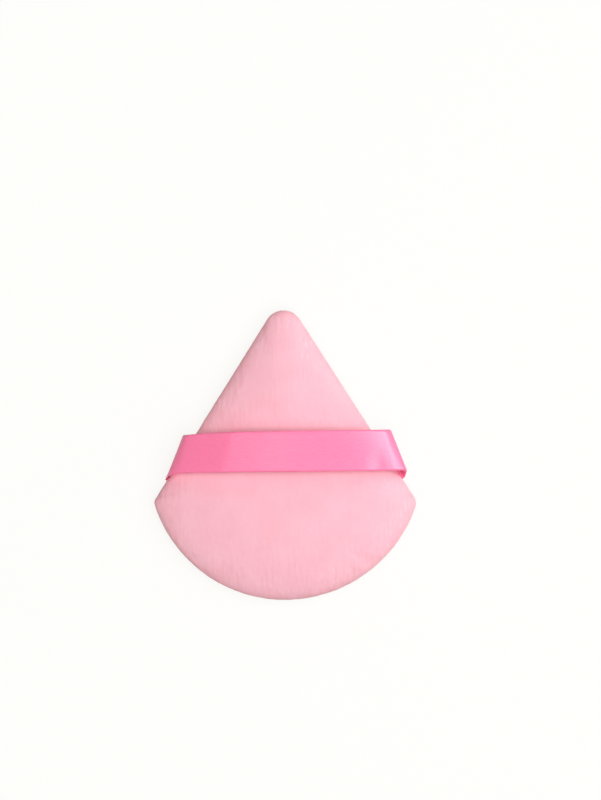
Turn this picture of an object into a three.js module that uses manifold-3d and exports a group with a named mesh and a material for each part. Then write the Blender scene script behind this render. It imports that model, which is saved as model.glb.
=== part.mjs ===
// Fan-shaped powder puff: two velour covers sewn together round a foam core, with a satin
// finger strap whose ends are caught in the side seams.
// Millimetres, +Z up. The puff lies on its powder face with the strap on top and its tip
// towards +Y. The origin is on the surface that it rests on, under the middle of the outline.
// Heights below are measured from the seam plane, half way up the puff's edge.

import * as THREE from "three";
import { mergeGeometries, mergeVertices } from "three/addons/utils/BufferGeometryUtils.js";
import Module from "manifold-3d";

const wasm = await Module();
wasm.setup();

// Outline, seen from above
const PUFF_LENGTH = 78; // tip to the middle of the base
const PUFF_WIDTH = 70.5; // across the two side corners
const TIP_RADIUS = 5.2;
const CORNER_RADIUS = 2.6;
const CORNER_RISE = 26.4; // middle of the base to the centres of the side corners, along the length

// Covers and core
const STRAP_SIDE_CROWN = 9; // seam plane to the top of the strap side
const POWDER_SIDE_CROWN = 8.6; // seam plane to the powder side's crown before it is pressed flat
const REST_FLAT_DEPTH = 0.6; // how much of that crown is pressed flat where the puff rests
const CROWN_FULLNESS = 2.6; // exponent of the crown's curve: higher is fuller at the edge
const COVER_THICKNESS = 1; // velour with its pile
const SEAM_ROLL_RADIUS = 0.6; // inside radius of the cover where it rolls into the seam
const SEAM_LINE_SETBACK = 0.8; // end of the roll to the line of stitches
const SEAM_ALLOWANCE = 2.2; // line of stitches to the cover's cut edge
const FIT_GAP = 0.3; // clearance between pieces that touch

// Stitches
const THREAD_DIAMETER = 0.35;
const STITCH_LENGTH = 5;
const CLOSING_STITCH_LENGTH = 4;
const TURNING_GAP = 24; // length of seam in the base that is closed by hand

// Strap
const RIBBON_WIDTH = 11;
const RIBBON_THICKNESS = 0.4;
const STRAP_SEAT_RISE = 10.6; // side corner's centre to the middle of a sewn end, along the length
const LEG_STANDOFF = 0.9; // side seam to the strap's leg, outwards
const LEFT_REACH = 1.5; // side seam to the middle of the crease, outwards, seen from above
const RIGHT_REACH = 3.2;
const CREASE_CREEP = 1.7; // middle of a sewn end to the middle of its crease, along the seam
const CREASE_LEAN = 21; // degrees that the creases lean in towards the tip
const CREASE_RISE = 4.75; // widest line of the cover up to the crease
const CREASE_SETBACK = 1.2; // run of ribbon on each side that a crease takes to bend
const LEFT_FOLD_RUN = 1.1; // crease to the fold where the strap levels out, seen from above
const RIGHT_FOLD_RUN = 1.9;
const FOLD_RISE = 2.4; // crease up to that fold
const FOLD_SETBACK = 1.3; // run of ribbon on each side that a fold takes to bend
const FINGER_GAP = 6; // crown of the strap side to the underside of the bowed strap
const SIDE_RUN = 7; // length of the bowed stretch that stays with each side of the strap
const SETTLING = 6; // exponent: how soon past the left fold the strap runs square across

// Fineness of the curved faces
const TIP_STEPS = 8;
const SIDE_STEPS = 4;
const CORNER_STEPS = 4;
const HALF_BASE_STEPS = 10;
const CROWN_STEPS = 6;
const INNER_CROWN_STEPS = 4;
const ROLL_STEPS = 2;
const STRAP_STEPS = 24;
const SIDE_RUN_STEPS = 3;
const CREASE_STEPS = 5;
const FOLD_STEPS = 4;
const LEG_STEPS = 3;
const THREAD_SIDES = 5;
const HOLE_SIDES = 4;

// Looks of the materials
const VELOUR = { color: 0xfbbfcd, roughness: 0.95, metalness: 0 };
const FOAM = { color: 0xf6ece4, roughness: 0.9, metalness: 0 };
const SATIN = { color: 0xfb92b8, roughness: 0.35, metalness: 0 };
const THREAD = { color: 0xf7b3c4, roughness: 0.6, metalness: 0 };

// Circles that the outline runs round: the tip's, the right corner's, and the base's,
// which touches the corners' circles from outside
const tip = new THREE.Vector2(0, PUFF_LENGTH / 2 - TIP_RADIUS);
const corner = new THREE.Vector2(PUFF_WIDTH / 2 - CORNER_RADIUS, CORNER_RISE - PUFF_LENGTH / 2);
const baseRadius =
  (corner.x ** 2 + CORNER_RISE ** 2 - CORNER_RADIUS ** 2) / (2 * (CORNER_RISE - CORNER_RADIUS));
const base = new THREE.Vector2(0, baseRadius - PUFF_LENGTH / 2);

// The straight side is the tangent of the tip's and the corner's circles
const tipToCorner = corner.clone().sub(tip);
const sideNormalAngle =
  tipToCorner.angle() - 2 * Math.PI + Math.acos((TIP_RADIUS - CORNER_RADIUS) / tipToCorner.length());
const sideOffset = Math.sin(sideNormalAngle) * tip.y + TIP_RADIUS;
const cornerAngle = Math.atan2(corner.y - base.y, corner.x);

// Centre of the largest circle that touches both sides and the base: the crown rises to it
const crownCentreY = (sideOffset - PUFF_LENGTH / 2) / (1 + Math.sin(sideNormalAngle));
const crownCentre = new THREE.Vector2(0, crownCentreY);
const crownReach = crownCentreY + PUFF_LENGTH / 2;

// Heights and insets that several pieces share
const seamHeight = POWDER_SIDE_CROWN - REST_FLAT_DEPTH;
const rollOuterRadius = SEAM_ROLL_RADIUS + COVER_THICKNESS;
const rimHeight = FIT_GAP / 2 + rollOuterRadius;
const stitchInset = rollOuterRadius + SEAM_LINE_SETBACK;
const cutEdgeInset = stitchInset + SEAM_ALLOWANCE;
const threadHeight = FIT_GAP / 2 + COVER_THICKNESS + FIT_GAP + THREAD_DIAMETER / 2;
const creaseHeight = rimHeight + CREASE_RISE;
const foldHeight = creaseHeight + FOLD_RISE;

// A point on a circle in the plan.
function onCircle(centre, radius, angle) {
  return new THREE.Vector2(centre.x + radius * Math.cos(angle), centre.y + radius * Math.sin(angle));
}

// Points along an arc, without its last one.
function arcPoints(centre, radius, from, to, steps) {
  const angleAt = (k) => THREE.MathUtils.lerp(from, to, k / steps);
  return Array.from({ length: steps }, (_, k) => onCircle(centre, radius, angleAt(k)));
}

// Points along a straight line, without its last one.
function linePoints(from, to, steps) {
  return Array.from({ length: steps }, (_, k) => from.clone().lerp(to, k / steps));
}

// The puff's outline, anticlockwise from the middle of the base.
function outlinePoints() {
  const leftCorner = new THREE.Vector2(-corner.x, corner.y);
  const leftCornerAngle = Math.PI - cornerAngle;
  const leftNormalAngle = Math.PI - sideNormalAngle;
  const rightSideFoot = onCircle(corner, CORNER_RADIUS, sideNormalAngle);
  const rightSideTop = onCircle(tip, TIP_RADIUS, sideNormalAngle);
  const leftSideTop = onCircle(tip, TIP_RADIUS, leftNormalAngle);
  const leftSideFoot = onCircle(leftCorner, CORNER_RADIUS, leftNormalAngle);
  return [
    ...arcPoints(base, baseRadius, -Math.PI / 2, cornerAngle, HALF_BASE_STEPS),
    ...arcPoints(corner, CORNER_RADIUS, cornerAngle, sideNormalAngle, CORNER_STEPS),
    ...linePoints(rightSideFoot, rightSideTop, SIDE_STEPS),
    ...arcPoints(tip, TIP_RADIUS, sideNormalAngle, leftNormalAngle, TIP_STEPS),
    ...linePoints(leftSideTop, leftSideFoot, SIDE_STEPS),
    ...arcPoints(leftCorner, CORNER_RADIUS, leftNormalAngle, leftCornerAngle, CORNER_STEPS),
    ...arcPoints(base, baseRadius, leftCornerAngle, 1.5 * Math.PI, HALF_BASE_STEPS),
  ];
}

const outline = outlinePoints();

// The outline drawn in by an inset, which is measured square to the sides. It grows round
// towards the middle of the crown, as a stuffed cover does.
function insetOutline(inset) {
  const depth = inset / crownReach;
  const roundness = THREE.MathUtils.smoothstep(depth, 0, 1);
  return outline.map((p) => {
    const arm = p.clone().sub(crownCentre);
    const roundArm = arm.clone().setLength(crownReach);
    return arm.lerp(roundArm, roundness).multiplyScalar(1 - depth).add(crownCentre);
  });
}

// Closed surface through rings of points; the first and last ring are single points.
// Each ring runs anticlockwise as seen from further along.
function skin(rings) {
  const positions = [];
  const starts = [];
  for (const ring of rings) {
    starts.push(positions.length / 3);
    for (const p of ring) positions.push(p.x, p.y, p.z);
  }
  const triangles = [];
  for (let r = 0; r + 1 < rings.length; r++) {
    const here = rings[r];
    const next = rings[r + 1];
    const count = Math.max(here.length, next.length);
    for (let k = 0; k < count; k++) {
      const a = starts[r] + (k % here.length);
      const b = starts[r] + ((k + 1) % here.length);
      const c = starts[r + 1] + ((k + 1) % next.length);
      const d = starts[r + 1] + (k % next.length);
      if (here.length > 1) triangles.push(a, b, c);
      if (next.length > 1) triangles.push(a, c, d);
    }
  }
  const geometry = new THREE.BufferGeometry();
  geometry.setAttribute("position", new THREE.Float32BufferAttribute(positions, 3));
  geometry.setIndex(triangles);
  return geometry;
}

// Closed surface whose section is a list of insets and heights, swept round the outline.
function sweep(section) {
  const rings = section.map(({ inset, height }) => {
    if (inset >= crownReach) return [new THREE.Vector3(crownCentre.x, crownCentre.y, height)];
    return insetOutline(inset).map((p) => new THREE.Vector3(p.x, p.y, height));
  });
  return skin(rings);
}

// A geometry as a solid for cutting.
function solidOf(geometry) {
  const bare = geometry.clone();
  bare.deleteAttribute("normal");
  bare.deleteAttribute("uv");
  const merged = mergeVertices(bare);
  const vertProperties = new Float32Array(merged.getAttribute("position").array);
  const triVerts = new Uint32Array(merged.getIndex().array);
  return new wasm.Manifold(new wasm.Mesh({ numProp: 3, vertProperties, triVerts }));
}

// A cut solid as a geometry again.
function geometryOf(solid) {
  const { vertProperties, triVerts } = solid.getMesh();
  const geometry = new THREE.BufferGeometry();
  geometry.setAttribute("position", new THREE.BufferAttribute(vertProperties, 3));
  geometry.setIndex(new THREE.BufferAttribute(triVerts, 1));
  return geometry;
}

// A geometry with holes and pockets cut out of it.
function cut(geometry, tools) {
  const solid = tools.reduce((left, tool) => left.subtract(solidOf(tool)), solidOf(geometry));
  return geometryOf(solid);
}

// Section of a crowned face from its widest line, at an inset and a height, up to the middle.
// flat is the depth of crown that is pressed flat, and low the height that the section starts at.
function crownSection({ inset, height, crown, flat, steps, low = height }) {
  const reach = crownReach - inset;
  const rise = crown - height;
  const first = Math.asin((low - height) / rise);
  const last = Math.asin((rise - flat) / rise);
  const section = [];
  for (let k = 0; k <= steps; k++) {
    const angle = THREE.MathUtils.lerp(first, last, k / steps);
    const drawnIn = reach * (1 - Math.cos(angle) ** (2 / CROWN_FULLNESS));
    section.push({ inset: inset + drawnIn, height: height + rise * Math.sin(angle) });
  }
  const middle = { inset: crownReach, height: crown - flat };
  return flat > 0 ? [...section, middle] : [...section.slice(0, -1), middle];
}

// Quarter circle of the cover where it rolls from its widest line into the seam.
function rollSection(radius) {
  return Array.from({ length: ROLL_STEPS + 1 }, (_, k) => {
    const angle = (Math.PI / 2) * (k / ROLL_STEPS);
    const inset = rollOuterRadius - radius * Math.cos(angle);
    return { inset, height: rimHeight - radius * Math.sin(angle) };
  });
}

// One cover: a crowned velour shell whose edge rolls into the seam and ends in a flat
// turned-in allowance. side is 1 for the strap side and -1 for the powder side.
function coverGeometry(crown, flat, side) {
  const outer = crownSection({ inset: 0, height: rimHeight, crown, flat, steps: CROWN_STEPS });
  const inner = crownSection({
    inset: COVER_THICKNESS,
    height: rimHeight,
    crown: crown - COVER_THICKNESS,
    flat,
    steps: INNER_CROWN_STEPS,
  });
  const section = [
    ...inner.reverse(),
    ...rollSection(SEAM_ROLL_RADIUS).slice(1),
    { inset: cutEdgeInset, height: FIT_GAP / 2 + COVER_THICKNESS },
    { inset: cutEdgeInset, height: FIT_GAP / 2 },
    ...rollSection(rollOuterRadius).reverse(),
    ...outer.slice(1),
  ];
  const placed = section.map(({ inset, height }) => ({ inset, height: side * height }));
  return sweep(side > 0 ? placed : placed.reverse());
}

// The foam core: it fills the covers and is grooved round its edge for the turned-in allowances.
function foamGeometry() {
  const inset = COVER_THICKNESS + FIT_GAP;
  const groove = Math.max(threadHeight + THREAD_DIAMETER / 2 + FIT_GAP, rimHeight);
  const half = (coverCrown, flat) => {
    const crown = coverCrown - inset;
    const steps = INNER_CROWN_STEPS;
    return [
      { inset: cutEdgeInset + FIT_GAP, height: groove },
      ...crownSection({ inset, height: rimHeight, crown, flat, steps, low: groove }),
    ];
  };
  const upper = half(STRAP_SIDE_CROWN, 0);
  const lower = half(POWDER_SIDE_CROWN, REST_FLAT_DEPTH);
  const below = lower.map((s) => ({ inset: s.inset, height: -s.height }));
  return sweep([...below.reverse(), ...upper]);
}

// Evenly spaced points on the line of stitches, between two distances from the base's middle.
function stitchPoints(from, to, stitchLength) {
  const line = new THREE.CurvePath();
  const points = insetOutline(stitchInset);
  points.forEach((p, k) => line.add(new THREE.LineCurve(p, points[(k + 1) % points.length])));
  const length = line.getLength();
  const end = to > from ? to : to + length;
  const count = Math.round((end - from) / stitchLength);
  return Array.from({ length: count + 1 }, (_, k) => {
    const distance = THREE.MathUtils.lerp(from, end, k / count);
    return line.getPoint(THREE.MathUtils.euclideanModulo(distance, length) / length);
  });
}

// Running stitch through both allowances, as one mitred tube that goes down through one
// stitch hole and up through the next.
function threadGeometry(stitches) {
  const path = stitches.flatMap((p, k) => {
    const above = k % 2 === 0 ? threadHeight : -threadHeight;
    return [new THREE.Vector3(p.x, p.y, above), new THREE.Vector3(p.x, p.y, -above)];
  });
  const directions = path.slice(1).map((p, k) => p.clone().sub(path[k]).normalize());
  const across = new THREE.Vector3(1, 0, 0);
  const along = new THREE.Vector3().crossVectors(directions[0], across);
  let ring = Array.from({ length: THREAD_SIDES }, (_, k) => {
    const angle = (2 * Math.PI * k) / THREAD_SIDES;
    const point = path[0].clone().addScaledVector(across, (THREAD_DIAMETER / 2) * Math.cos(angle));
    return point.addScaledVector(along, (THREAD_DIAMETER / 2) * Math.sin(angle));
  });
  const rings = [[path[0]], ring];
  for (let k = 1; k < path.length; k++) {
    const arriving = directions[k - 1];
    const leaving = directions[k] ?? arriving;
    const mitre = arriving.clone().add(leaving);
    ring = ring.map((p) => {
      const run = path[k].clone().sub(p).dot(mitre) / arriving.dot(mitre);
      return p.clone().addScaledVector(arriving, run);
    });
    rings.push(ring);
  }
  rings.push([path[path.length - 1]]);
  return skin(rings);
}

// Holes that the thread passes through, clear of it all round.
function stitchHoles(stitches) {
  const radius = (THREAD_DIAMETER / 2 + FIT_GAP) / Math.cos(Math.PI / HOLE_SIDES);
  const holes = stitches.map((p) => {
    const hole = new THREE.CylinderGeometry(radius, radius, 2 * threadHeight, HOLE_SIDES);
    return hole.rotateX(Math.PI / 2).translate(p.x, p.y, 0);
  });
  return mergeGeometries(holes);
}

// Directions at one side seam, seen from above, and the middle of the strap's sewn end on it.
// side is -1 for the left and 1 for the right.
function sideFrame(side) {
  const outward = new THREE.Vector3(side * Math.cos(sideNormalAngle), Math.sin(sideNormalAngle), 0);
  const tipward = new THREE.Vector3(-side * Math.sin(sideNormalAngle), Math.cos(sideNormalAngle), 0);
  const seatY = corner.y + STRAP_SEAT_RISE;
  const seatX = (sideOffset - Math.sin(sideNormalAngle) * seatY) / Math.cos(sideNormalAngle);
  return { side, outward, tipward, seat: new THREE.Vector3(side * seatX, seatY, 0) };
}

// Flat block across a side seam, from an inset to a distance outside.
function seamBlock({ side, outward, seat }, inset, outside, width, thickness) {
  const block = new THREE.BoxGeometry(inset + outside, width, thickness);
  const middle = seat.clone().addScaledVector(outward, (outside - inset) / 2);
  return block.rotateZ(side * sideNormalAngle).translate(middle.x, middle.y, middle.z);
}

// The end of the ribbon that is sewn between the two allowances.
function sewnEndGeometry(frame) {
  const outside = LEG_STANDOFF - FIT_GAP - RIBBON_THICKNESS / 2;
  return seamBlock(frame, cutEdgeInset, outside, RIBBON_WIDTH, RIBBON_THICKNESS);
}

// Room for a sewn end between the allowances, out past the puff's edge.
function sewnEndPocket(frame) {
  const width = RIBBON_WIDTH + 2 * FIT_GAP;
  const thickness = RIBBON_THICKNESS + 2 * FIT_GAP;
  return seamBlock(frame, cutEdgeInset + FIT_GAP, rollOuterRadius, width, thickness);
}

// The crease where the strap turns from its leg over the puff.
function creaseLine({ side, outward, tipward, seat }, reach) {
  const lean = THREE.MathUtils.degToRad(CREASE_LEAN);
  const middle = seat.clone().addScaledVector(outward, reach).setZ(creaseHeight);
  middle.addScaledVector(tipward, CREASE_CREEP);
  const towardsTip = new THREE.Vector3(-side * Math.sin(lean), Math.cos(lean), 0);
  const half = RIBBON_WIDTH / 2 / Math.cos(lean);
  return {
    upper: middle.clone().addScaledVector(towardsTip, half),
    lower: middle.clone().addScaledVector(towardsTip, -half),
  };
}

// The fold where the strap levels out above its crease.
function foldLine({ side }, crease, run) {
  const step = new THREE.Vector3(-side * run, 0, FOLD_RISE);
  return { upper: crease.upper.clone().add(step), lower: crease.lower.clone().add(step) };
}

// One station of the bowed stretch between the folds; share runs from 0 at the left to 1.
function bowStation(left, right, share) {
  const rise = STRAP_SIDE_CROWN + FINGER_GAP + RIBBON_THICKNESS / 2 - foldHeight;
  const level = 1 - (1 - share) ** SETTLING;
  const edge = (from, to) =>
    new THREE.Vector3(
      THREE.MathUtils.lerp(from.x, to.x, share),
      THREE.MathUtils.lerp(from.y, to.y, level),
      foldHeight + rise * 4 * share * (1 - share),
    );
  return { upper: edge(left.upper, right.upper), lower: edge(left.lower, right.lower) };
}

// Stations round a crease or fold, between the stations before and after it.
function bendStations(before, turn, after, setback, steps) {
  const bend = (edge) => {
    const arriving = turn[edge].clone().sub(before[edge]).setLength(setback);
    const leaving = after[edge].clone().sub(turn[edge]).setLength(setback);
    return new THREE.QuadraticBezierCurve3(
      turn[edge].clone().sub(arriving),
      turn[edge],
      turn[edge].clone().add(leaving),
    ).getPoints(steps);
  };
  const upper = bend("upper");
  const lower = bend("lower");
  return upper.map((p, k) => ({ upper: p, lower: lower[k] }));
}

// Ribbon of even thickness through stations, each a pair of points on its two edges.
function ribbonGeometry(stations) {
  const middle = stations.map(({ upper, lower }) => upper.clone().add(lower).multiplyScalar(0.5));
  const rings = stations.map(({ upper, lower }, k) => {
    const before = middle[Math.max(k - 1, 0)];
    const after = middle[Math.min(k + 1, middle.length - 1)];
    const travel = after.clone().sub(before);
    const face = travel.cross(upper.clone().sub(lower)).setLength(RIBBON_THICKNESS / 2);
    return [
      upper.clone().add(face),
      lower.clone().add(face),
      lower.clone().sub(face),
      upper.clone().sub(face),
    ];
  });
  return skin([[middle[0]], ...rings, [middle[middle.length - 1]]]);
}

const leftFrame = sideFrame(-1);
const rightFrame = sideFrame(1);
const leftCrease = creaseLine(leftFrame, LEFT_REACH);
const rightCrease = creaseLine(rightFrame, RIGHT_REACH);
const leftFold = foldLine(leftFrame, leftCrease, LEFT_FOLD_RUN);
const rightFold = foldLine(rightFrame, rightCrease, RIGHT_FOLD_RUN);
const strapSpan = rightFold.upper.distanceTo(leftFold.upper);
const sideShare = SIDE_RUN / strapSpan;
const setbackShare = FOLD_SETBACK / strapSpan;
const spanGapShare = FIT_GAP / strapSpan;

// Stations of the bowed stretch between two shares of it.
function bowStations(from, to, steps) {
  return Array.from({ length: steps + 1 }, (_, k) =>
    bowStation(leftFold, rightFold, THREE.MathUtils.lerp(from, to, k / steps)),
  );
}

// One side of the strap: a leg that rises from the seam, the crease, the fold and a run of the bow.
function strapSideGeometry({ side, outward, tipward, seat }, crease, fold) {
  const foot = seat.clone().addScaledVector(outward, LEG_STANDOFF).setZ(-RIBBON_THICKNESS / 2);
  const leg = {
    upper: foot.clone().addScaledVector(tipward, RIBBON_WIDTH / 2),
    lower: foot.clone().addScaledVector(tipward, -RIBBON_WIDTH / 2),
  };
  const fromFold = (share) => (side < 0 ? share : 1 - share);
  const run = bowStations(fromFold(2 * setbackShare), fromFold(sideShare), SIDE_RUN_STEPS);
  const bend = [
    ...bendStations(leg, crease, fold, CREASE_SETBACK, CREASE_STEPS),
    ...bendStations(crease, fold, run[0], FOLD_SETBACK, FOLD_STEPS),
  ];
  const rise = Array.from({ length: LEG_STEPS }, (_, k) => ({
    upper: leg.upper.clone().lerp(bend[0].upper, k / LEG_STEPS),
    lower: leg.lower.clone().lerp(bend[0].lower, k / LEG_STEPS),
  }));
  return ribbonGeometry([...rise, ...bend, ...run]);
}

// The bowed stretch that the fingers lift, between the strap's two sides.
function fingerSpanGeometry() {
  const from = sideShare + spanGapShare;
  return ribbonGeometry(bowStations(from, 1 - from, STRAP_STEPS));
}

// A named piece of the puff, with a material of its own.
function piece(name, geometry, look) {
  geometry.computeVertexNormals();
  const mesh = new THREE.Mesh(geometry, new THREE.MeshStandardMaterial(look));
  mesh.name = name;
  return mesh;
}

const seamStitches = stitchPoints(TURNING_GAP / 2, -TURNING_GAP / 2, STITCH_LENGTH);
const closingEdge = TURNING_GAP / 2 - CLOSING_STITCH_LENGTH;
const closingStitches = stitchPoints(-closingEdge, closingEdge, CLOSING_STITCH_LENGTH);
const holes = [stitchHoles(seamStitches), stitchHoles(closingStitches)];
const pockets = [sewnEndPocket(leftFrame), sewnEndPocket(rightFrame)];

const seamCuts = [...pockets, ...holes];
const strapSideCover = cut(coverGeometry(STRAP_SIDE_CROWN, 0, 1), seamCuts);
const powderSideCover = cut(coverGeometry(POWDER_SIDE_CROWN, REST_FLAT_DEPTH, -1), seamCuts);

// Everything is built about the seam plane and stands on its flat.
const body = new THREE.Group();
body.position.z = seamHeight;
body.add(
  piece("strap_side_cover", strapSideCover, VELOUR),
  piece("powder_side_cover", powderSideCover, VELOUR),
  piece("foam_core", foamGeometry(), FOAM),
  piece("seam_thread", threadGeometry(seamStitches), THREAD),
  piece("closing_thread", threadGeometry(closingStitches), THREAD),
  piece("ribbon_sewn_end_left", cut(sewnEndGeometry(leftFrame), holes), SATIN),
  piece("ribbon_sewn_end_right", cut(sewnEndGeometry(rightFrame), holes), SATIN),
);

const strap = new THREE.Group();
strap.add(
  piece("ribbon_side_left", strapSideGeometry(leftFrame, leftCrease, leftFold), SATIN),
  piece("ribbon_side_right", strapSideGeometry(rightFrame, rightCrease, rightFold), SATIN),
  piece("ribbon_finger_span", fingerSpanGeometry(), SATIN),
);
body.add(strap);

const puff = new THREE.Group();
puff.add(body);

export default puff;
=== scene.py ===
import math

import bpy
import numpy as np
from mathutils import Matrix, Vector


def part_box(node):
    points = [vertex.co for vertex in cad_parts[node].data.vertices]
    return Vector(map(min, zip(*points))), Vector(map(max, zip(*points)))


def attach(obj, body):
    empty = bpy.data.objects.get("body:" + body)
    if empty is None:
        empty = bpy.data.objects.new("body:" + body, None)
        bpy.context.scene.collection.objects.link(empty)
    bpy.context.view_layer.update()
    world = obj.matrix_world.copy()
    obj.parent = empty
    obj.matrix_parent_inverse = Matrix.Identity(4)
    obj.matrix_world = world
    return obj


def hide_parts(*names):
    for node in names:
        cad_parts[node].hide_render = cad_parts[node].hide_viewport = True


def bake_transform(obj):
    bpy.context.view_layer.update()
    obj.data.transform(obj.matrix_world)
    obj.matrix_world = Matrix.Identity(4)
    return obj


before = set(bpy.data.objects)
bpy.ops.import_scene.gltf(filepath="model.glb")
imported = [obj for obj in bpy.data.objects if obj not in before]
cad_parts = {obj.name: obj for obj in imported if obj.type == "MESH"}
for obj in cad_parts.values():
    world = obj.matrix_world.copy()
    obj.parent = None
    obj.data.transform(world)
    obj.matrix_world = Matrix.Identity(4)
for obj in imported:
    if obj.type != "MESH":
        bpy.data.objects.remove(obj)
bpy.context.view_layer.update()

MM = 0.001

# Outline of the puff: the frame gives its length and width
TIP_RADIUS = 5.2 * MM
CORNER_RADIUS = 2.6 * MM  # corners as drawn, both alike: they place the strap and the crown
CORNER_RISE = 26.4 * MM  # middle of the base to the corners' centres
LEFT_CORNER_RADIUS = 2.0 * MM  # corners as sewn: the left one is more pointed and higher
LEFT_CORNER_RISE = 26.5 * MM
RIGHT_CORNER_RADIUS = 3.2 * MM
RIGHT_CORNER_RISE = 25.7 * MM
ARC_STEPS = 48
BASE_STEPS = 200

# Covers, core and seam
COVER_THICKNESS = 1.0 * MM
ROLL_RADIUS = 1.6 * MM  # outside of the cover where it rolls into the seam
CUT_EDGE_INSET = 4.6 * MM  # outline to the turned-in cut edge
FIT_GAP = 0.3 * MM
REST_FLAT_DEPTH = 0.6 * MM  # crown that is pressed flat where the puff lies
CROWN_FULLNESS = 2.6
CORE_GROOVE = 2.1 * MM  # seam plane to either lip of the groove round the foam

# Fineness of the covers and the core: round the outline, and from the seam to the crown
AROUND = 600
FLANGE_RINGS = 4
ROLL_RINGS = 14
CROWN_RINGS = 104
INNER_ROLL_RINGS = 3
INNER_RINGS = 14
CORE_AROUND = 150
CORE_RINGS = 28

# Cloth simulation of the covers' puckers, on a coarse copy at a workable scale
SIM_AROUND = 150
SIM_ROLL_RINGS = 4
SIM_CROWN_RINGS = 24
SIM_SCALE = 20
SIM_FRAMES = 24
SIM_OVERSIZE = 0.006  # how much longer the cloth is than the seam that gathers it
PUCKER_LIMIT = 0.07 * MM
PUCKER_RINGS = 8  # coarse rings up the crown before the puckers fade

# Pile of the velour
WALE_WIDTH = 0.55 * MM
WALE_LENGTH = 2.8 * MM
WALE_DEPTH = 0.08 * MM
FLAT_WALES = 0.2  # share of that depth where the cover lies flat
OPEN_TILT = 0.4  # how far the cover leans, as a sine, where the wales are fully open
BRUSHED_PATCH = 8.0 * MM
BRUSHED_SHARE = 0.4  # how much the wales' depth differs from patch to patch
PAINTED_STREAK_STRENGTH = 0.65  # how pale the streaks are where the cover bends away: partly the pile parting, partly painted highlight on the wales
PAINTED_STREAK_WALES = (0.56, 0.68)  # levels of the wales' noise over which the pale streaks show
PAINTED_STREAK_PATCHES = (0.38, 0.54)  # and levels of the patches' noise over which that starts to show
WALE_TINT = 0.22
FIBRE_TINT = 0.3
TUFT_SIZE = 0.9 * MM
TUFT_DEPTH = 0.02 * MM
FIBRE_WIDTH = 0.16 * MM
FIBRE_LENGTH = 0.3 * MM
FIBRE_DEPTH = 0.06 * MM

# Textures of the satin, the foam and the thread
FLOAT_SIZE = (3.0 * MM, 0.12 * MM, 0.4 * MM)  # along, across and up the strap
FLOAT_DEPTH = 0.03 * MM
FOAM_CELL = 0.5 * MM
FOAM_DEPTH = 0.2 * MM
TWIST_SIZE = 1.0 * MM
TWIST_DEPTH = 0.05 * MM

# Strap
RIBBON_WIDTH = 11.0 * MM
RIBBON_THICKNESS = 0.4 * MM
SEWN_THICKNESS = 0.22 * MM  # where the seam presses it
SEWN_RUN = 0.8  # how far it stays so thin, as a share of the turned-in edge
SEAT_RISE = 10.6 * MM  # side corner's centre to the middle of a sewn end, along the length
LEG_STANDOFF = 0.45 * MM  # outline to the legs, outwards
LEFT_REACH = 1.5 * MM  # outline to the middles of the creases, outwards
RIGHT_REACH = 3.2 * MM
CREASE_CREEP = 1.7 * MM  # how far the creases lie towards the tip from the sewn ends
CREASE_LEAN = math.radians(21)
CREASE_RISE = 4.75 * MM  # widest line of the cover up to the creases
LEFT_FOLD_RUNS = (0.9 * MM, 2.2 * MM)  # crease to fold, at the upper and the lower edge
RIGHT_FOLD_RUNS = (1.5 * MM, 2.6 * MM)
LEFT_FOLD_RISE = 2.4 * MM
RIGHT_FOLD_RISE = 1.8 * MM
LEFT_GATHER = 0.8 * MM  # how far the lower edge is drawn in at the left fold
LEFT_OVERHANG = 0.1 * MM  # how far the left crease runs on at its lower end
LEFT_LIFT = 0.5 * MM  # and how much higher that end lies
FACET_SHARE = 0.46  # of the run from crease to fold, what the bend at either end takes up
BOW_START = 2.6 * MM  # fold to where the bow begins
FOOT_SETBACK = 0.7 * MM  # what the bend at the foot takes up on either side
FINGER_GAP = 6.0 * MM  # crown up to the underside of the bow
SETTLING = 6  # how soon after the left fold the edges run level
KINK_PLACE = (-14.1 * MM, -16.8 * MM)  # old fold mark across the strap: at its upper and lower edge
KINK_HEIGHT = 0.3 * MM
KINK_REACH = 6.0 * MM
KINK_ROUNDING = 0.006  # of its ridge, as the square of a share of the reach
KINK_FALL = 1.5  # power by which it falls off
WAVE_HEIGHT = 0.09 * MM  # slack waves of the strap
WAVE_LENGTH = 9.0 * MM
WAVE_WIDTH = 7.0 * MM
DENT_DEPTH = 0.25 * MM  # finger mark before the right fold
DENT_PLACE = (25.0 * MM, -4.0 * MM)
DENT_REACH = (2.2 * MM, 4.0 * MM)
LAP_TUCK = 0.08 * MM  # where the strap and a sewn end lap, the inner one is narrower by this
LAP_THICKNESS = 0.5  # and has this share of the thickness
SELVEDGE_WIDTH = 0.5 * MM
SELVEDGE_SWELL = 0.05 * MM
EDGE_LEAST = 0.04  # square of the share of the thickness that is left at the very edge

# Fineness of the strap: along its stretches from a cut end to the bow, and across it
SEWN_STEPS = 8
FOOT_STEPS = 8
LEG_STEPS = 16
CREASE_STEPS = 14
FACET_STEPS = 10
FOLD_STEPS = 12
BOW_STEPS = 220
ACROSS_STEPS = 26
LAP_STEPS = 4  # how far the sewn ends run on past the legs, inside the strap
LEG_END = SEWN_STEPS + FOOT_STEPS + LEG_STEPS
JOIN_STEP = LEG_END - LEG_STEPS // 2 + 1  # half way up the leg, where the strap begins
END_STEP = LEG_END + LAP_STEPS
WAVE_STEP = LEG_END + CREASE_STEPS  # past the crease, where the slack waves are full

# Photograph: its frame, its scale and where the middle of the puff lies in it
IMAGE_WIDTH = 601
IMAGE_HEIGHT = 800
PUFF_HEIGHT_PX = 289.4
PUFF_CENTRE_PX = (284.7, 455.1)
PUFF_TURN = math.radians(0.55)  # anticlockwise
LENS = 200.0
SENSOR = 36.0

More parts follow.
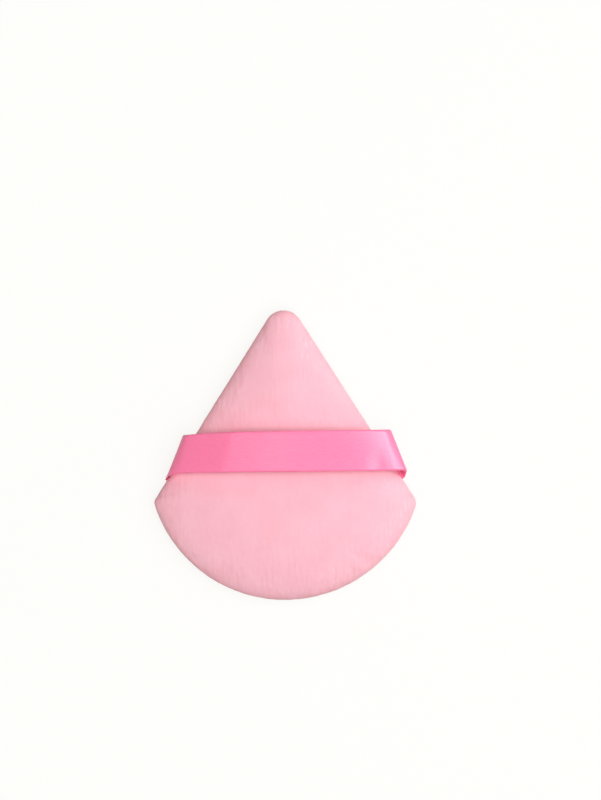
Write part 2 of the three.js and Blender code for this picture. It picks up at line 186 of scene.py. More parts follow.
# Sizes that the frame gives
front_low, front_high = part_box("strap_side_cover")
back_low, back_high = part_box("powder_side_cover")
LENGTH = front_high.y - front_low.y
WIDTH = front_high.x - front_low.x
SEAM_Z = (front_low.z + back_high.z) / 2
SEAM_HALF_GAP = (front_low.z - back_high.z) / 2
STRAP_SIDE_CROWN = front_high.z - SEAM_Z
POWDER_SIDE_CROWN = SEAM_Z - back_low.z + REST_FLAT_DEPTH
RIM_HEIGHT = SEAM_HALF_GAP + ROLL_RADIUS
INNER_ROLL_RADIUS = ROLL_RADIUS - COVER_THICKNESS


# Outline

def arc(centre, radius, start, end, steps=ARC_STEPS):
    """Points along an arc in the plan."""
    angles = np.linspace(start, end, steps)
    return np.stack([centre[0] + radius * np.cos(angles), centre[1] + radius * np.sin(angles)], axis=1)


def half_plan(corner_radius, corner_rise):
    """Circles and angles of the outline's right half, for one corner."""
    tip = np.array([0.0, LENGTH / 2 - TIP_RADIUS])
    corner = np.array([WIDTH / 2 - corner_radius, corner_rise - LENGTH / 2])
    height = corner_rise - corner_radius
    base_radius = (corner[0] ** 2 + corner_rise**2 - corner_radius**2) / (2 * height)
    base = np.array([0.0, base_radius - LENGTH / 2])
    span = corner - tip
    lean = math.acos((TIP_RADIUS - corner_radius) / np.linalg.norm(span))
    side_angle = math.atan2(span[1], span[0]) + lean
    corner_angle = math.atan2(corner[1] - base[1], corner[0])
    return tip, corner, base, base_radius, side_angle, corner_angle


def half_outline(corner_radius, corner_rise):
    """The outline's right half as a fine line, from the middle of the base to the tip."""
    tip, corner, base, base_radius, side_angle, corner_angle = half_plan(corner_radius, corner_rise)
    return np.concatenate([
        arc(base, base_radius, -math.pi / 2, corner_angle, BASE_STEPS),
        arc(corner, corner_radius, corner_angle, side_angle),
        arc(tip, TIP_RADIUS, side_angle, math.pi / 2),
    ])


def outline(count):
    """The whole outline, anticlockwise from the middle of the base, as evenly spaced points."""
    right = half_outline(RIGHT_CORNER_RADIUS, RIGHT_CORNER_RISE)
    left = half_outline(LEFT_CORNER_RADIUS, LEFT_CORNER_RISE)[::-1] * (-1, 1)
    line = np.concatenate([right, left])
    steps = np.linalg.norm(np.diff(line, axis=0), axis=1)
    along = np.concatenate([[0.0], np.cumsum(steps)])
    wanted = np.arange(count) * along[-1] / count
    return np.stack([np.interp(wanted, along, line[:, k]) for k in range(2)], axis=1)


TIP, CORNER, _, _, SIDE_ANGLE, _ = half_plan(CORNER_RADIUS, CORNER_RISE)
SIDE_OFFSET = math.sin(SIDE_ANGLE) * TIP[1] + TIP_RADIUS
CROWN_CENTRE = np.array([0.0, (SIDE_OFFSET - LENGTH / 2) / (1 + math.sin(SIDE_ANGLE))])
CROWN_REACH = CROWN_CENTRE[1] + LENGTH / 2


def smoothstep(t):
    """Smooth ramp from 0 to 1."""
    t = np.clip(t, 0, 1)
    return t * t * (3 - 2 * t)


def contour(line, inset):
    """The outline drawn in by an inset; it grows round towards the middle of the crown."""
    depth = inset / CROWN_REACH
    arms = line - CROWN_CENTRE
    round_arms = arms * (CROWN_REACH / np.linalg.norm(arms, axis=1))[:, None]
    mixed = arms + (round_arms - arms) * smoothstep(depth)
    return CROWN_CENTRE + mixed * (1 - depth)


# Sections: lists of (inset, height above the seam plane)

def roll_section(radius, rings):
    """From the widest line down into the seam."""
    angles = np.linspace(0, math.pi / 2, rings + 1)
    return [(ROLL_RADIUS - radius * math.cos(a), RIM_HEIGHT - radius * math.sin(a)) for a in angles]


def crown_section(inset, crown, flat, rings, low=RIM_HEIGHT):
    """From the widest line, or a height above it, to the middle of the crown, which may be pressed flat."""
    reach = CROWN_REACH - inset
    rise = crown - RIM_HEIGHT
    first = math.asin((low - RIM_HEIGHT) / rise)
    angles = first + (math.pi / 2 - first) * np.arange(rings) / rings
    section = []
    for a in angles:
        height = RIM_HEIGHT + rise * math.sin(a)
        drawn_in = reach * (1 - math.cos(a) ** (2 / CROWN_FULLNESS))
        section.append((inset + drawn_in, pressed(height, crown, flat)))
    return section


def pressed(height, crown, flat):
    """A height of the crown after its top is pressed flat, with a shoulder as high as the flat is deep."""
    if flat == 0:
        return height
    over = (height - (crown - flat)) / flat
    if over < -1:
        return height
    return crown - flat - flat * ((1 - min(over, 1)) / 2) ** 2


def outer_section(crown, flat, flange_rings, roll_rings, crown_rings):
    """The cover's outer face, from its turned-in cut edge to the crown."""
    flange = [
        (CUT_EDGE_INSET + (ROLL_RADIUS - CUT_EDGE_INSET) * k / flange_rings, SEAM_HALF_GAP)
        for k in range(flange_rings)
    ]
    roll = roll_section(ROLL_RADIUS, roll_rings)[::-1]
    return flange + roll + crown_section(0.0, crown, flat, crown_rings)[1:]


def swept(line, section, side):
    """Rings of points for a section swept round an outline; side is 1 above the seam, -1 below."""
    rings = []
    for inset, height in section:
        ring = contour(line, inset)
        rings.append(np.column_stack([ring, np.full(len(ring), SEAM_Z + side * height)]))
    return np.array(rings)


# Noise and interpolation

NOISE_CELLS = 256


def value_noise(u, v, seed):
    """Smooth noise between -1 and 1 over two coordinates, the same each run."""
    table = np.random.default_rng(seed).uniform(-1, 1, (NOISE_CELLS, NOISE_CELLS))
    iu, iv = np.floor(u).astype(int), np.floor(v).astype(int)
    fu, fv = smoothstep(u - iu), smoothstep(v - iv)

    def corner(a, b):
        return table[(iu + a) % NOISE_CELLS, (iv + b) % NOISE_CELLS]

    near = corner(0, 0) * (1 - fv) + corner(0, 1) * fv
    far = corner(1, 0) * (1 - fv) + corner(1, 1) * fv
    return near * (1 - fu) + far * fu


def cubic_resample(values, places, wraps):
    """Values along the first axis, read at fractional places on a smooth cubic curve."""
    count = len(values)
    base = np.floor(places).astype(int)
    t = places - base
    index = [base + k for k in (-1, 0, 1, 2)]
    index = [i % count if wraps else np.clip(i, 0, count - 1) for i in index]
    a, b, c, d = (values[i] for i in index)
    t = t.reshape((-1,) + (1,) * (values.ndim - 1))
    return b + 0.5 * t * (c - a + t * (2 * a - 5 * b + 4 * c - d + t * (3 * (b - c) + d - a)))


def ring_normals(rings):
    """Normals of a grid of rings, by differences along and round it."""
    along = np.gradient(rings, axis=0)
    around = np.roll(rings, -1, axis=1) - np.roll(rings, 1, axis=1)
    normals = np.cross(around, along)
    return normals / np.maximum(np.linalg.norm(normals, axis=2, keepdims=True), 1e-12)


# Meshes

def mesh_object(name, points, faces, material):
    """A smooth-shaded object from points and faces."""
    mesh = bpy.data.meshes.new(name)
    mesh.from_pydata([tuple(p) for p in points], [], faces)
    mesh.polygons.foreach_set("use_smooth", np.ones(len(mesh.polygons), bool))
    if material is not None:
        mesh.materials.append(material)
    mesh.update()
    piece = bpy.data.objects.new(name, mesh)
    bpy.context.scene.collection.objects.link(piece)
    return piece


def ring_faces(ring_count, count):
    """Quads between rings of points that close on themselves."""
    k = np.arange(count)
    after = (k + 1) % count
    quads = []
    for r in range(ring_count - 1):
        here, beyond = r * count, (r + 1) * count
        quads.append(np.stack([here + k, here + after, beyond + after, beyond + k], axis=1))
    return np.concatenate(quads).tolist()


def closed_skin(name, rings, start, end, material):
    """Closed mesh through rings of points, from one end point to the other."""
    ring_count, count = rings.shape[:2]
    points = np.concatenate([rings.reshape(-1, 3), [start, end]])
    faces = ring_faces(ring_count, count)
    start_index, end_index = len(points) - 2, len(points) - 1
    last = (ring_count - 1) * count
    for k in range(count):
        after = (k + 1) % count
        faces.append([start_index, after, k])
        faces.append([end_index, last + k, last + after])
    return mesh_object(name, points, faces, material)


# Covers

def simulated_puckers(crown, flat, side):
    """How far the seam's gathering lifts or sinks a cover's face, on the coarse grid.

    The cloth is pinned along the seam and cut a little longer than it, so it puckers there
    while the foam's pressure keeps the crown full."""
    section = outer_section(crown, flat, 1, SIM_ROLL_RINGS, SIM_CROWN_RINGS)[1:]
    rings = swept(outline(SIM_AROUND), section, side)
    ring_count, count = rings.shape[:2]
    middle = np.append(CROWN_CENTRE, SEAM_Z + side * (crown - flat))
    points = np.concatenate([rings.reshape(-1, 3), [middle]]) * SIM_SCALE
    faces = ring_faces(ring_count, count)
    last = (ring_count - 1) * count
    faces += [[last + k, last + (k + 1) % count, ring_count * count] for k in range(count)]
    if side < 0:
        faces = [face[::-1] for face in faces]
    cloth = mesh_object("puckering_cloth", points, faces, None)
    pinned = cloth.vertex_groups.new(name="seam")
    pinned.add(list(range(SIM_ROLL_RINGS // 2 * count)), 1.0, "REPLACE")
    settings = cloth.modifiers.new("cloth", "CLOTH").settings
    settings.quality = 6
    settings.mass = 0.3
    settings.tension_stiffness = 15
    settings.compression_stiffness = 15
    settings.shear_stiffness = 5
    settings.bending_stiffness = 0.4
    settings.use_pressure = True
    settings.uniform_pressure_force = 4
    settings.shrink_min = -SIM_OVERSIZE
    settings.effector_weights.gravity = 0
    settings.vertex_group_mass = "seam"
    cloth.modifiers["cloth"].collision_settings.use_collision = False
    cloth.modifiers["cloth"].point_cache.frame_end = SIM_FRAMES
    scene = bpy.context.scene
    for number in range(1, SIM_FRAMES + 1):
        scene.frame_set(number)
    result = cloth.evaluated_get(bpy.context.evaluated_depsgraph_get())
    moved = np.array([v.co for v in result.data.vertices])[:-1].reshape(rings.shape) / SIM_SCALE
    lift = ((moved - rings) * ring_normals(rings)).sum(axis=2) * side
    bpy.data.objects.remove(cloth)
    scene.frame_set(1)
    lift -= lift.mean(axis=1, keepdims=True)
    return PUCKER_LIMIT * np.tanh(lift / PUCKER_LIMIT)


def pile_height(rings, normals):
    """Lie of the pile: wales of the knit along the puff, brushed flatter in patches, and tufts.

    The wales open up where the cover bends away at its edge."""
    x, y = rings[..., 0], rings[..., 1]
    wales = value_noise(x / WALE_WIDTH, y / WALE_LENGTH, seed=1)
    brushing = value_noise(x / BRUSHED_PATCH, y / BRUSHED_PATCH, seed=2)
    patches = 1 - BRUSHED_SHARE + BRUSHED_SHARE * brushing
    tilt = np.hypot(normals[..., 0], normals[..., 1])
    opening = FLAT_WALES + (1 - FLAT_WALES) * smoothstep(tilt / OPEN_TILT)
    tufts = value_noise(x / TUFT_SIZE, y / TUFT_SIZE, seed=3)
    return WALE_DEPTH * wales * patches * opening + TUFT_DEPTH * tufts


def cover(name, crown, flat, side, material):
    """One velour cover as a closed shell: its outer face, turned-in edge and inner face."""
    line = outline(AROUND)
    section = outer_section(crown, flat, FLANGE_RINGS, ROLL_RINGS, CROWN_RINGS)
    outer = swept(line, section, side)
    normals = ring_normals(outer) * side
    coarse = simulated_puckers(crown, flat, side)
    round_places = np.arange(AROUND) * SIM_AROUND / AROUND
    fine = cubic_resample(coarse.T, round_places, True).T
    roll_places = np.linspace(0, SIM_ROLL_RINGS, ROLL_RINGS + 1)
    crown_places = SIM_ROLL_RINGS + np.arange(1, CROWN_RINGS) * SIM_CROWN_RINGS / CROWN_RINGS
    places = np.concatenate([np.zeros(FLANGE_RINGS), roll_places, crown_places])
    lift = cubic_resample(fine, places, False)
    opened = smoothstep((places - 1) / SIM_ROLL_RINGS)[:, None]
    up_crown = (places - SIM_ROLL_RINGS) / PUCKER_RINGS
    gathered = (smoothstep(2 * up_crown) * (1 - smoothstep(up_crown - 1)))[:, None]
    outer = outer + normals * (lift * gathered + pile_height(outer, normals) * opened)[..., None]
    inner = [(CUT_EDGE_INSET, SEAM_HALF_GAP + COVER_THICKNESS)]
    inner += roll_section(INNER_ROLL_RADIUS, INNER_ROLL_RINGS)[::-1]
    inner += crown_section(COVER_THICKNESS, crown - COVER_THICKNESS, flat, INNER_RINGS)[1:]
    rings = np.concatenate([swept(line, inner, side)[::-1], outer])
    inside = np.append(CROWN_CENTRE, SEAM_Z + side * (crown - COVER_THICKNESS - flat))
    outside = np.append(CROWN_CENTRE, SEAM_Z + side * (crown - flat))
    if side < 0:
        return closed_skin(name, rings[::-1], outside, inside, material)
    return closed_skin(name, rings, inside, outside, material)


def foam_core(name, material):
    """The pad inside: it fills the covers, with a groove round its edge for the seam."""
    inset = COVER_THICKNESS + FIT_GAP
    line = outline(CORE_AROUND)

    def half(crown, flat):
        lip = [(CUT_EDGE_INSET + FIT_GAP, CORE_GROOVE), (CUT_EDGE_INSET / 2, CORE_GROOVE)]
        return lip + crown_section(inset, crown - inset, flat, CORE_RINGS, CORE_GROOVE)

    below = swept(line, half(POWDER_SIDE_CROWN, REST_FLAT_DEPTH), -1)[::-1]
    above = swept(line, half(STRAP_SIDE_CROWN, 0.0), 1)
    bottom = np.append(CROWN_CENTRE, SEAM_Z - (POWDER_SIDE_CROWN - REST_FLAT_DEPTH - inset))
    top = np.append(CROWN_CENTRE, SEAM_Z + STRAP_SIDE_CROWN - inset)
    return closed_skin(name, np.concatenate([below, above]), bottom, top, material)


# Strap

def unit(v):
    """A vector at length 1."""
    return v / np.linalg.norm(v)


def rounded(before, corner, after, setback, steps):
    """Points round a corner between two straight runs, on a smooth curve."""
    start = corner + unit(before - corner) * setback
    end = corner + unit(after - corner) * setback
    t = np.linspace(0, 1, steps + 1)[:, None]
    return (1 - t) ** 2 * start + 2 * t * (1 - t) * corner + t**2 * end


def side_points(side, edge):
    """One edge of the ribbon at one side: its cut end, its foot at the seam, its crease and its fold.

    side is -1 for the left and 1 for the right; edge is 1 for the edge towards the tip and -1 for
    the edge towards the base."""
    reach = LEFT_REACH if side < 0 else RIGHT_REACH
    fold_run = (LEFT_FOLD_RUNS if side < 0 else RIGHT_FOLD_RUNS)[0 if edge > 0 else 1]
    fold_rise = LEFT_FOLD_RISE if side < 0 else RIGHT_FOLD_RISE
    outward = np.array([side * math.cos(SIDE_ANGLE), math.sin(SIDE_ANGLE), 0.0])
    tipward = np.array([-side * math.sin(SIDE_ANGLE), math.cos(SIDE_ANGLE), 0.0])
    seat_y = CORNER[1] + SEAT_RISE
    seat_x = (SIDE_OFFSET - math.sin(SIDE_ANGLE) * seat_y) / math.cos(SIDE_ANGLE)
    seat = np.array([side * seat_x, seat_y, SEAM_Z])
    across = tipward * edge * RIBBON_WIDTH / 2
    end = seat - outward * CUT_EDGE_INSET + across
    foot = seat + outward * LEG_STANDOFF + across
    crease_line = np.array([-side * math.tan(CREASE_LEAN), 1.0, 0.0])
    crease = seat + outward * reach + tipward * CREASE_CREEP + crease_line * edge * RIBBON_WIDTH / 2
    crease[2] += RIM_HEIGHT + CREASE_RISE
    fold = crease + np.array([-side * fold_run, 0.0, fold_rise])
    if side < 0 and edge < 0:
        fold += crease_line * LEFT_GATHER
        crease -= crease_line * LEFT_OVERHANG
        crease[2] += LEFT_LIFT
    return end, foot, crease, fold


def bow_points(left, right, shares, edge):
    """One edge of the bowed stretch between the folds, at shares from 0 at the left to 1."""
    rise = SEAM_Z + STRAP_SIDE_CROWN + FINGER_GAP + RIBBON_THICKNESS / 2 - (left[2] + right[2]) / 2
    level = 1 - (1 - shares) ** SETTLING
    x = left[0] + (right[0] - left[0]) * shares
    from_kink = np.abs(x - KINK_PLACE[0 if edge > 0 else 1]) / KINK_REACH
    kink = KINK_HEIGHT * np.clip(1 - np.sqrt(from_kink**2 + KINK_ROUNDING), 0, 1) ** KINK_FALL
    return np.stack([
        x,
        left[1] + (right[1] - left[1]) * level,
        left[2] + (right[2] - left[2]) * shares + rise * 4 * shares * (1 - shares) + kink,
    ], axis=1)


def straight(start, end, steps):
    """Points on a straight run, without its ends."""
    t = np.linspace(0, 1, steps + 1)[1:-1, None]
    return start + (end - start) * t


def edge_line(edge):
    """One edge of the ribbon from its left cut end to its right one."""
    left = side_points(-1, edge)
    right = side_points(1, edge)
    start = BOW_START / (right[3][0] - left[3][0])
    shares = np.linspace(start, 1 - start, BOW_STEPS + 1)
    bow = bow_points(left[3], right[3], shares, edge)

    def side(end, foot, crease, fold, first):
        setback = FACET_SHARE * np.linalg.norm(fold - crease)
        foot_bend = rounded(end, foot, crease, FOOT_SETBACK, FOOT_STEPS)
        crease_bend = rounded(foot, crease, fold, setback, CREASE_STEPS)
        fold_bend = rounded(crease, fold, first, setback, FOLD_STEPS)
        return np.concatenate([
            [end],
            straight(end, foot_bend[0], SEWN_STEPS),
            foot_bend,
            straight(foot_bend[-1], crease_bend[0], LEG_STEPS),
            crease_bend,
            straight(crease_bend[-1], fold_bend[0], FACET_STEPS),
            fold_bend,
        ])

    return np.concatenate([side(*left, bow[0]), bow, side(*right, bow[-1])[::-1]])


def rising(count, first, last):
    """Shares along the ribbon: 0 up to the first step from either end, and 1 from the last one on."""
    steps = np.arange(count)
    from_end = np.minimum(steps, count - 1 - steps)
    return smoothstep((from_end - first) / (last - first))


def strap_waves(grid):
    """Heights of the strap's slack waves, and of the dent before its right fold."""
    x, y = grid[..., 0], grid[..., 1]
    waves = WAVE_HEIGHT * value_noise(x / WAVE_LENGTH, y / WAVE_WIDTH, seed=4)
    along = (x - DENT_PLACE[0]) / DENT_REACH[0]
    across = (y - DENT_PLACE[1]) / DENT_REACH[1]
    return waves - DENT_DEPTH * np.exp(-along**2 - across**2)


def ribbon_piece(name, first, last, outermost, material):
    """A stretch of the ribbon as a closed strip with a swollen selvedge along both edges.

    outermost is 1 along the ribbon where this piece shows and 0 where it lies inside the other."""
    upper, lower = edge_line(1), edge_line(-1)
    across = np.linspace(0, 1, ACROSS_STEPS + 1)
    tuck = (LAP_TUCK / RIBBON_WIDTH * (1 - outermost))[:, None]
    drawn_in = tuck + (1 - 2 * tuck) * across[None, :]
    grid = lower[:, None] + (upper - lower)[:, None] * drawn_in[..., None]
    grid[..., 2] += strap_waves(grid) * rising(len(grid), END_STEP, WAVE_STEP)[:, None]
    normals = np.cross(np.gradient(grid, axis=0), np.gradient(grid, axis=1))
    normals /= np.linalg.norm(normals, axis=2, keepdims=True)
    middle = grid[:, ACROSS_STEPS // 2]
    run = np.concatenate([[0.0], np.cumsum(np.linalg.norm(np.diff(middle, axis=0), axis=1))])
    from_cut = np.minimum(run, run[-1] - run) / CUT_EDGE_INSET
    thickness = SEWN_THICKNESS + (RIBBON_THICKNESS - SEWN_THICKNESS) * smoothstep(from_cut - SEWN_RUN)
    to_edge = np.minimum(across, 1 - across) * RIBBON_WIDTH
    inwards = np.clip(to_edge / (RIBBON_THICKNESS / 2), 0, 1)
    rim = np.sqrt(np.clip(1 - (1 - inwards) ** 2, EDGE_LEAST, 1))
    swell = SELVEDGE_SWELL * np.exp(-((to_edge - SELVEDGE_WIDTH / 2) / (SELVEDGE_WIDTH / 2)) ** 2)
    fullness = LAP_THICKNESS + (1 - LAP_THICKNESS) * outermost
    half = (thickness[:, None] / 2 + swell[None, :]) * rim[None, :] * fullness[:, None]
    top = grid + normals * half[..., None]
    under = grid - normals * half[..., None]
    loops = np.concatenate([top[:, ::-1], under], axis=1)[first:last + 1]
    strip = closed_skin(name, loops, loops[0].mean(axis=0), loops[-1].mean(axis=0), material)
    return strip, run[last] - run[first]


# Materials

def new_material(name):
    """A new node material, with its node tree and its shader."""
    material = bpy.data.materials.new(name)
    material.use_nodes = True
    tree = material.node_tree
    shader = tree.nodes["Principled BSDF"]
    return material, tree, shader


def node(tree, kind, inputs=None, **settings):
    """A node with its settings and inputs; an input is a value or another node's socket."""
    made = tree.nodes.new(kind)
    for key, value in settings.items():
        setattr(made, key, value)
    for key, value in (inputs or {}).items():
        if isinstance(value, bpy.types.NodeSocket):
            tree.links.new(value, made.inputs[key])
        else:
            made.inputs[key].default_value = value
    return made


def srgb(red, green, blue):
    """A colour given in 0 to 255 as shown on a screen, as a linear RGBA value."""
    def linear(value):
        share = value / 255
        return share / 12.92 if share <= 0.04045 else ((share + 0.055) / 1.055) ** 2.4

    return linear(red), linear(green), linear(blue), 1.0


def set_inputs(shader, values):
    """Plain values for some of a shader's inputs."""
    for key, value in values.items():
        shader.inputs[key].default_value = value


def measured(tree, size):
    """Object coordinates, measured in a texture's size along each axis."""
    place = node(tree, "ShaderNodeTexCoord").outputs["Object"]
    scale = [1 / length for length in size]
    return node(tree, "ShaderNodeMapping", {"Vector": place, "Scale": scale}).outputs["Vector"]


def noise(tree, size, detail, roughness):
    """Noise with grains of a given size along each axis."""
    inputs = {"Vector": measured(tree, size), "Scale": 1.0, "Detail": detail, "Roughness": roughness}
    return node(tree, "ShaderNodeTexNoise", inputs).outputs["Fac"]


def maths(tree, operation, *values):
    """What a math node makes of one or two values."""
    return node(tree, "ShaderNodeMath", dict(enumerate(values)), operation=operation).outputs[0]


def mixed_colour(tree, factor, first, second):
    """Two colours mixed by a factor."""
    mix = node(tree, "ShaderNodeMix", data_type="RGBA")
    for key, value in (("Factor", factor), ("A", first), ("B", second)):
        socket = next(s for s in mix.inputs if s.name == key and s.enabled)
        if isinstance(value, bpy.types.NodeSocket):
            tree.links.new(value, socket)
        else:
            socket.default_value = value
    return next(s for s in mix.outputs if s.enabled)


NOISE_RANGE = (0.3, 0.7)  # where most of a noise lies


def ramp(tree, value, span=NOISE_RANGE, top=1.0):
    """A value's span, as 0 to top."""
    inputs = {"Value": value, "From Min": span[0], "From Max": span[1], "To Max": top}
    return node(tree, "ShaderNodeMapRange", inputs).outputs["Result"]


def bump(tree, height, strength, distance, normal=None):
    """A bump node over an optional earlier one."""
    inputs = {"Height": height, "Strength": strength, "Distance": distance}
    if normal is not None:
        inputs["Normal"] = normal
    return node(tree, "ShaderNodeBump", inputs).outputs["Normal"]


def velour_material():
    """Knitted velour: short pile in wales along the puff, brushed in patches, with a pale sheen.

    Where the cover bends away at its edge, pale streaks are painted along the wales: partly the pile
    parting, partly painted highlight where light grazes them."""
    material, tree, shader = new_material("velour_pile")
    wales = noise(tree, (WALE_WIDTH, WALE_LENGTH, WALE_LENGTH), 2.0, 0.5)
    patches = noise(tree, (BRUSHED_PATCH,) * 3, 3.0, 0.6)
    fibres = noise(tree, (FIBRE_WIDTH, FIBRE_LENGTH, FIBRE_LENGTH), 4.0, 0.65)
    patchy = mixed_colour(tree, ramp(tree, patches), srgb(249, 182, 198), srgb(252, 192, 208))
    striped = mixed_colour(tree, ramp(tree, wales, top=WALE_TINT), patchy, srgb(246, 173, 189))
    facing = node(tree, "ShaderNodeTexCoord").outputs["Normal"]
    upright = node(tree, "ShaderNodeSeparateXYZ", {0: facing}).outputs["Z"]
    level = maths(tree, "ABSOLUTE", upright)
    bent_away = ramp(tree, level, (1.0, math.cos(math.asin(OPEN_TILT))))
    # pale streaks painted where the cover leans away: partly the pile parting, partly painted highlight on
    # the wales
    grazed_wales = maths(tree, "MULTIPLY", ramp(tree, wales, PAINTED_STREAK_WALES, PAINTED_STREAK_STRENGTH), bent_away)
    painted_streak_highlight = maths(tree, "MULTIPLY", grazed_wales, ramp(tree, patches, PAINTED_STREAK_PATCHES))
    with_painted_streaks = mixed_colour(tree, painted_streak_highlight, striped, srgb(255, 208, 217))
    pile = mixed_colour(tree, ramp(tree, fibres, top=FIBRE_TINT), with_painted_streaks, srgb(255, 203, 214))
    tree.links.new(pile, shader.inputs["Base Color"])
    set_inputs(shader, {
        "Roughness": 0.95,
        "Specular IOR Level": 0.15,
        "Sheen Weight": 0.3,
        "Sheen Roughness": 0.4,
        "Sheen Tint": srgb(255, 222, 230),
    })
    normal = bump(tree, wales, 0.25, WALE_DEPTH)
    tree.links.new(bump(tree, fibres, 0.45, FIBRE_DEPTH, normal), shader.inputs["Normal"])
    return material


def satin_material():
    """Woven satin ribbon: fine floats along its length, glossy."""
    material, tree, shader = new_material("satin_ribbon")
    floats = noise(tree, FLOAT_SIZE, 3.0, 0.6)
    woven = mixed_colour(tree, ramp(tree, floats), srgb(254, 115, 161), srgb(255, 133, 177))
    tree.links.new(woven, shader.inputs["Base Color"])
    set_inputs(shader, {
        "Roughness": 0.36,
        "Specular IOR Level": 0.6,
        "Anisotropic": 0.2,
        "Sheen Weight": 0.1,
        "Sheen Roughness": 0.35,
        "Sheen Tint": srgb(255, 200, 222),
    })
    tree.links.new(bump(tree, floats, 0.3, FLOAT_DEPTH), shader.inputs["Normal"])
    return material


def foam_material():
    """Open-cell foam, painted darker in the hollows of its cells as shade."""
    material, tree, shader = new_material("open_cell_foam")
    cells = node(tree, "ShaderNodeTexVoronoi", {
        "Vector": measured(tree, (FOAM_CELL,) * 3), "Scale": 1.0,
    }).outputs["Distance"]
    # darker towards the middle of each cell, where the bump sinks: painted shade in the pores
    pores_with_painted_shade = mixed_colour(tree, cells, srgb(214, 196, 184), srgb(250, 242, 236))
    tree.links.new(pores_with_painted_shade, shader.inputs["Base Color"])
    set_inputs(shader, {"Roughness": 0.9})
    tree.links.new(bump(tree, cells, 0.6, FOAM_DEPTH), shader.inputs["Normal"])
    return material


def thread_material():
    """Spun sewing thread with its twist, painted darker in the twist's grooves as shade."""
    material, tree, shader = new_material("spun_thread")
    twist = node(tree, "ShaderNodeTexWave", {
        "Vector": measured(tree, (TWIST_SIZE,) * 3), "Scale": 1.6, "Distortion": 0.6,
    }, bands_direction="DIAGONAL").outputs["Fac"]
    # darker where the twist's bump sinks: painted shade in its grooves
    twist_with_painted_shade = mixed_colour(tree, twist, srgb(238, 160, 180), srgb(252, 196, 210))
    tree.links.new(twist_with_painted_shade, shader.inputs["Base Color"])
    set_inputs(shader, {"Roughness": 0.55})
    tree.links.new(bump(tree, twist, 0.4, TWIST_DEPTH), shader.inputs["Normal"])
    return material


# Stage, light and camera

PAPER = srgb(254, 254, 252)
FLOOR_SIZE = 6.0
FLOOR_BOUNCE = (0.52, 0.45, 0.36, 1.0)  # what the floor throws back on the puff
SHADOW_SHARE = 0.12  # how much of the shadow the white floor keeps
AMBIENT = 0.29
AMBIENT_COLOUR = (1.0, 0.95, 0.87, 1.0)


def background_ray(tree):
    """1 for the rays that should see the white background: camera, glossy and transmission rays."""
    path = node(tree, "ShaderNodeLightPath").outputs
    either = maths(tree, "MAXIMUM", path["Is Camera Ray"], path["Is Glossy Ray"])
    return maths(tree, "MAXIMUM", either, path["Is Transmission Ray"])


def white_floor():
    """Pale floor under the puff, which looks white and keeps a soft share of the shadow."""
    bpy.ops.mesh.primitive_plane_add(size=FLOOR_SIZE, location=(0, 0, 0))
    floor = bpy.context.object
    floor.name = "floor"
    material, tree, shader = new_material("floor_white")
    shown = background_ray(tree)
    tree.links.new(mixed_colour(tree, shown, FLOOR_BOUNCE, PAPER), shader.inputs["Base Color"])
    set_inputs(shader, {"Roughness": 0.9, "Specular IOR Level": 0.0})
    glow = node(tree, "ShaderNodeEmission", {"Color": PAPER, "Strength": 1.0})
    share = maths(tree, "MULTIPLY", shown, 1 - SHADOW_SHARE)
    mix = node(tree, "ShaderNodeMixShader", {0: share, 1: shader.outputs[0], 2: glow.outputs[0]})
    tree.links.new(mix.outputs[0], tree.nodes["Material Output"].inputs["Surface"])
    floor.data.materials.append(material)


def studio_world():
    """Even ambient light, with white behind everything."""
    world = bpy.data.worlds.new("studio")
    bpy.context.scene.world = world
    world.use_nodes = True
    tree = world.node_tree
    ambient = tree.nodes["Background"]
    set_inputs(ambient, {"Color": AMBIENT_COLOUR, "Strength": AMBIENT})
    paper = node(tree, "ShaderNodeBackground", {"Color": PAPER, "Strength": 1.0})
    shown = background_ray(tree)
    mix = node(tree, "ShaderNodeMixShader", {0: shown, 1: ambient.outputs[0], 2: paper.outputs[0]})
    tree.links.new(mix.outputs[0], tree.nodes["World Output"].inputs["Surface"])


def soft_light(name, place, width, height, power, mirrored=False):
    """A rectangular area light that looks at the puff, either lighting it or mirrored in its gloss."""
    lamp = bpy.data.lights.new(name, "AREA")
    lamp.shape = "RECTANGLE"
    lamp.size = width
    lamp.size_y = height
    lamp.energy = power
    light = bpy.data.objects.new(name, lamp)
    light.location = place
    light.visible_glossy = mirrored
    light.visible_diffuse = not mirrored
    aim = Vector((0, 0, SEAM_Z)) - Vector(place)
    light.rotation_euler = aim.to_track_quat("-Z", "Y").to_euler()
    bpy.context.scene.collection.objects.link(light)


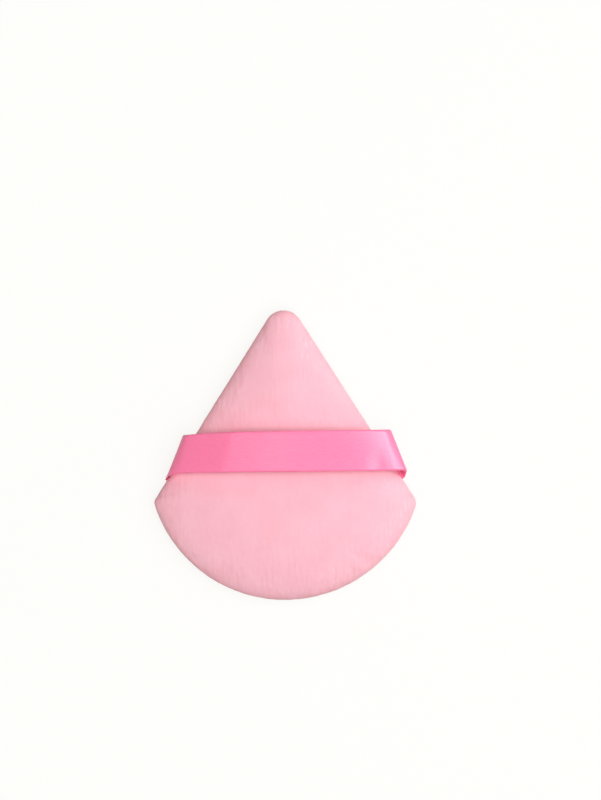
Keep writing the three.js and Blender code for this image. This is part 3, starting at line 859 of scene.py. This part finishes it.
def photograph_camera():
    """Camera square above the puff, framed as the photograph is."""
    metres_per_px = LENGTH / PUFF_HEIGHT_PX
    camera = bpy.data.cameras.new("camera")
    camera.lens = LENS
    camera.sensor_width = SENSOR
    distance = IMAGE_HEIGHT * metres_per_px * LENS / SENSOR
    holder = bpy.data.objects.new("camera", camera)
    right = (IMAGE_WIDTH / 2 - PUFF_CENTRE_PX[0]) * metres_per_px
    up = (PUFF_CENTRE_PX[1] - IMAGE_HEIGHT / 2) * metres_per_px
    cos, sin = math.cos(PUFF_TURN), math.sin(PUFF_TURN)
    holder.location = (
        right * cos + up * sin, up * cos - right * sin, SEAM_Z + RIM_HEIGHT + distance,
    )
    holder.rotation_euler = (0, 0, -PUFF_TURN)
    bpy.context.scene.collection.objects.link(holder)
    bpy.context.scene.camera = holder


# The puff

velour = velour_material()
satin = satin_material()
foam = foam_material()
thread = thread_material()

strap_side = cover("velour_strap_side", STRAP_SIDE_CROWN, 0.0, 1, velour)
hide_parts("strap_side_cover")
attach(strap_side, "puff")

powder_side = cover("velour_powder_side", POWDER_SIDE_CROWN, REST_FLAT_DEPTH, -1, velour)
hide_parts("powder_side_cover")
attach(powder_side, "puff")

core = foam_core("foam_pad", foam)
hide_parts("foam_core")
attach(core, "puff")

for name in ("seam_thread", "closing_thread"):
    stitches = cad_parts[name].data
    stitches.materials.clear()
    stitches.materials.append(thread)

strap_share = rising(len(edge_line(1)), JOIN_STEP, END_STEP)
ribbon_steps = len(strap_share) - 1

ends = {
    "left": (0, END_STEP),
    "right": (ribbon_steps - END_STEP, ribbon_steps),
}
for side, (first, last) in ends.items():
    end, length = ribbon_piece("satin_end_" + side, first, last, 1 - strap_share, satin)
    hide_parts("ribbon_sewn_end_" + side)
    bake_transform(end)

band, length = ribbon_piece("satin_strap", JOIN_STEP, ribbon_steps - JOIN_STEP, strap_share, satin)
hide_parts("ribbon_side_left", "ribbon_side_right", "ribbon_finger_span")
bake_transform(band)

white_floor()
studio_world()
soft_light("front", place=(0.05, 0.0, 0.95), width=0.4, height=0.2, power=4.3)
soft_light("key", place=(0.22, -0.08, 0.76), width=0.6, height=0.25, power=1.75)
soft_light("rim", place=(0.76, 0.24, 0.10), width=0.5, height=0.16, power=3.0)
soft_light("gloss", place=(-0.14, 0.0, 0.90), width=0.6, height=0.3, power=1.4, mirrored=True)
soft_light("gleam", place=(0.70, 0.08, 0.42), width=0.6, height=0.26, power=5.0, mirrored=True)
photograph_camera()

bpy.context.scene.view_settings.view_transform = "Standard"
